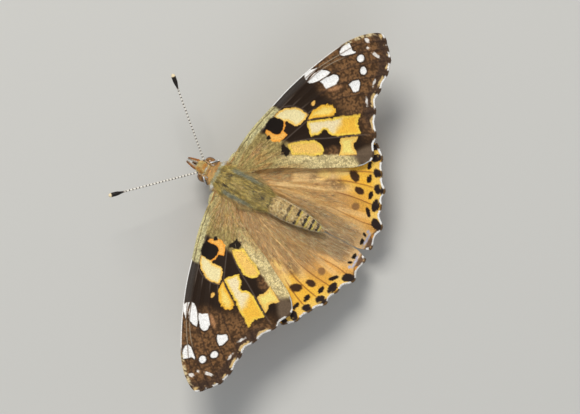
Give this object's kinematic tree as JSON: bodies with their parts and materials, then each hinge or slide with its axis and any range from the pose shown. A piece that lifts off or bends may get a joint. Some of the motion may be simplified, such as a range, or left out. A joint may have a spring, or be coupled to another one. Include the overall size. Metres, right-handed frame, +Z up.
{
  "type": "painted lady butterfly, still life-size model",
  "caption": "Life-size painted lady butterfly standing still with its wings spread, orange, black and white above and marbled below.",
  "frame": {"origin": "on the floor at the middle of the butterfly's bounding box", "axes": "+Z up from the floor, -Y toward the head, +X toward the butterfly's left wings"},
  "size_m": [0.0628, 0.0404, 0.013],
  "materials": {
    "body_fur": "matte short fur, tan and olive brown",
    "eye": "glossy faceted brown",
    "antenna_horn": "smooth dark horn with pale ticks",
    "forewing_scales": "matte powdery scales, orange, black and white",
    "hindwing_scales": "matte powdery scales, orange and tan with dark spots",
    "leg": "fine pale tan scales"
  },
  "bodies": {
    "root": {"thorax": "body_fur", "abdomen": "body_fur", "head": "body_fur", "eye_l": "eye", "eye_r": "eye", "palp_l": "body_fur", "palp_r": "body_fur", "antenna_l": "antenna_horn", "antenna_r": "antenna_horn", "proboscis": "antenna_horn", "forewing_l": "forewing_scales", "forewing_r": "forewing_scales", "hindwing_l": "hindwing_scales", "hindwing_r": "hindwing_scales", "foreleg_l": "leg", "foreleg_r": "leg", "midleg_l": "leg", "midleg_r": "leg", "hindleg_l": "leg", "hindleg_r": "leg"}
  },
  "joints": []
}
